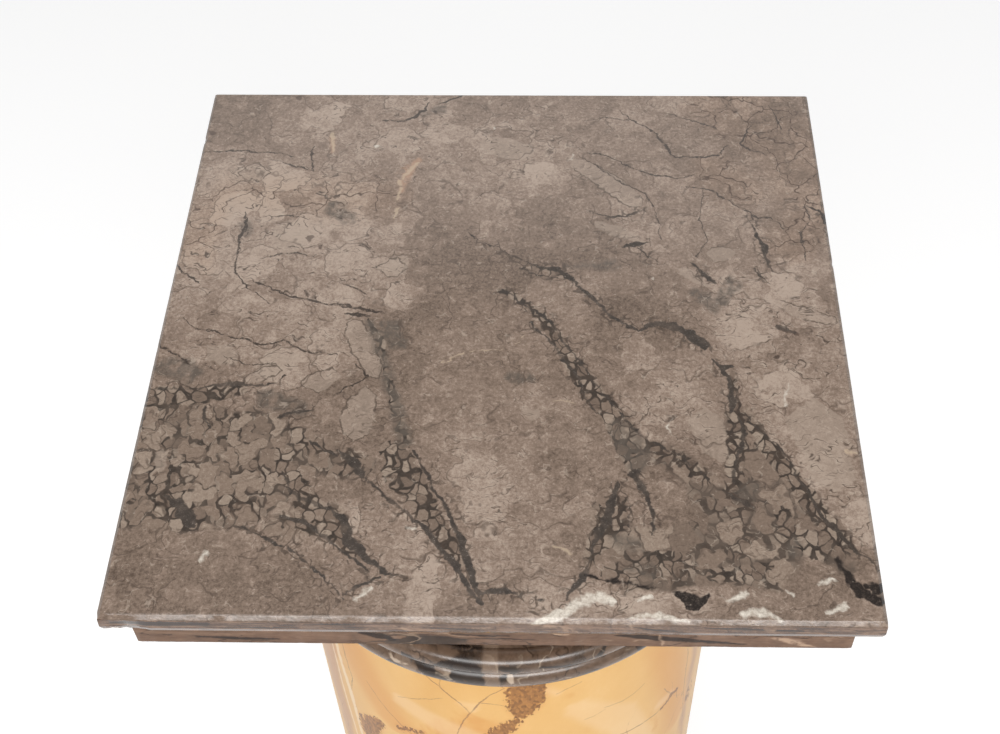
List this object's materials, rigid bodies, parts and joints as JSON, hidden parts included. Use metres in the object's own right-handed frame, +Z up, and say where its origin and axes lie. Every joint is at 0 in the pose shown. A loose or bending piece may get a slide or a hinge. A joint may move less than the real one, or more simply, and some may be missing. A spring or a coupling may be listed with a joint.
{
  "type": "marble column",
  "caption": "Free-standing marble display column: round shaft, turned capital and base, square abacus, top slab and plinth.",
  "frame": {"origin": "middle of the plinth's underside", "axes": "+Z up along the shaft's axis; the front, the side the picture shows, faces -Y"},
  "size_m": [0.34, 0.34, 1.1],
  "materials": {
    "breccia_marble": "polished brown-grey breccia marble with dark veins and pale clasts",
    "dark_breccia_marble": "polished grey-brown breccia marble, darker, with black zones and white calcite",
    "siena_marble": "polished yellow marble with brown clouds and fine dark veins"
  },
  "bodies": {
    "root": {"top_slab": "breccia_marble", "abacus": "breccia_marble", "capital": "dark_breccia_marble", "shaft": "siena_marble", "base": "dark_breccia_marble", "plinth": "breccia_marble"}
  },
  "joints": []
}
